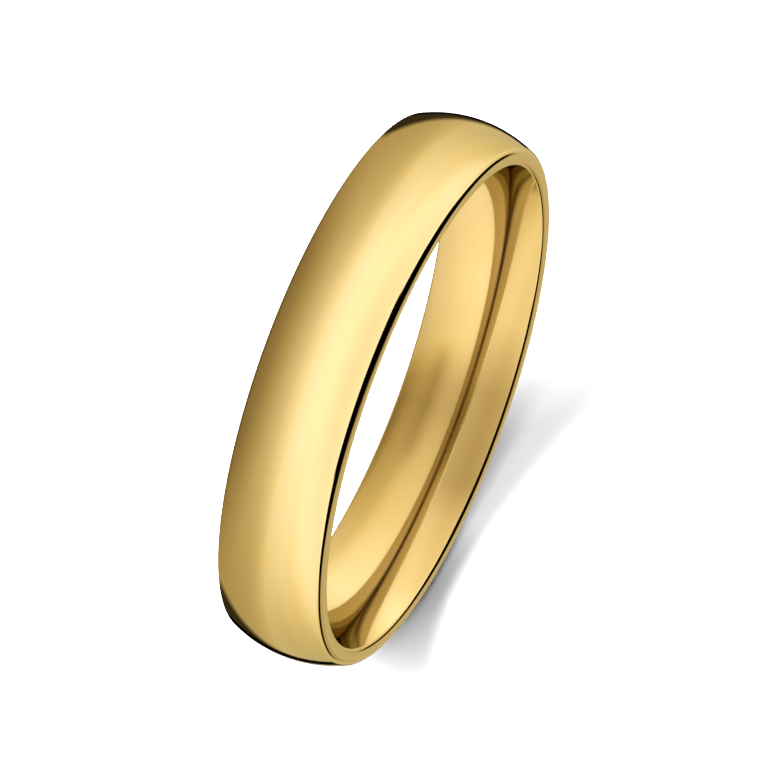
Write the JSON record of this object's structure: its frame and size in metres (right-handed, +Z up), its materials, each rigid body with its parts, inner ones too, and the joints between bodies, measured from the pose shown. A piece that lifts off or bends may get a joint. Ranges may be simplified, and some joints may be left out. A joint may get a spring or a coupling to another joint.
{
  "type": "wedding band",
  "caption": "Plain polished yellow gold ring, domed outside and inside, worn on a finger.",
  "frame": {"origin": "centre of the band, on the axis of its bore and at the middle of its width", "axes": "+Y along the bore, the ring stands upright in the XZ plane, +Z up"},
  "size_m": [0.0202, 0.004, 0.0202],
  "materials": {
    "gold": "high polish yellow gold"
  },
  "bodies": {
    "root": {"band": "gold"}
  },
  "joints": []
}
